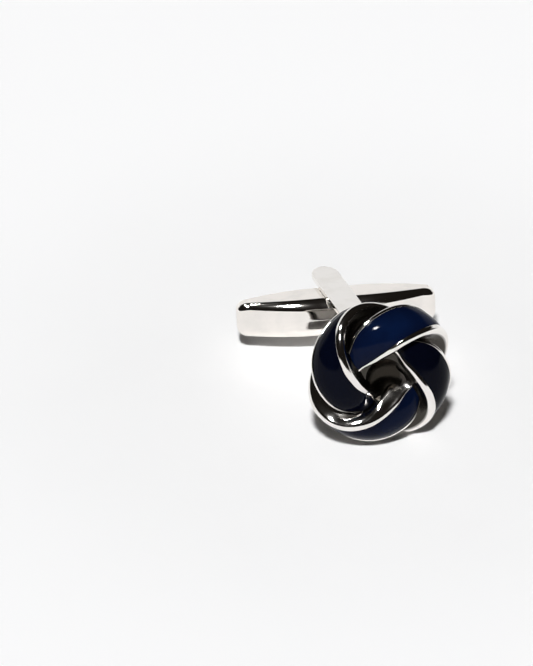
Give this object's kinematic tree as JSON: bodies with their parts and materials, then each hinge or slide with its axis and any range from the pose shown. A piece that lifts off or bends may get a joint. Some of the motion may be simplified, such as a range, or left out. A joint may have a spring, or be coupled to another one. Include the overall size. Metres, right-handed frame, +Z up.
{
  "type": "cufflink",
  "caption": "Knot cufflink: lapped metal straps filled with dark blue enamel, on a forked post whose bar swivels on a pin to lock in the buttonhole of a shirt cuff.",
  "frame": {"origin": "middle of the bounding box's underside, on the surface that the cufflink lies on", "axes": "+Z up from that surface, +Y from the knot towards the forked end of the post, +X along the bar when it is square to the post"},
  "size_m": [0.0182, 0.0228, 0.0126],
  "materials": {
    "polished_metal": "bright plated, mirror polished",
    "bar_metal": "bright plated, polished flats with crisp facets",
    "navy_enamel": "deep navy enamel, glossy, slightly domed",
    "spring_steel": "thin rolled washer stock"
  },
  "bodies": {
    "head_and_post": {"knot_casting": "polished_metal", "back_plate": "polished_metal", "post_fork": "polished_metal", "pivot_pin": "polished_metal", "enamel_top": "navy_enamel", "enamel_left": "navy_enamel", "enamel_bottom": "navy_enamel", "enamel_right": "navy_enamel", "friction_washer_upper": "spring_steel", "friction_washer_lower": "spring_steel"},
    "bar": {"toggle_bar": "bar_metal"}
  },
  "joints": [
    {"name": "bar_swivel", "type": "hinge", "parent": "head_and_post", "child": "bar", "pos_m": [0, 0.00618, 0.00338], "axis": [0, 0.2053, 0.9787], "range_deg": [-80.5, 99.5]}
  ]
}
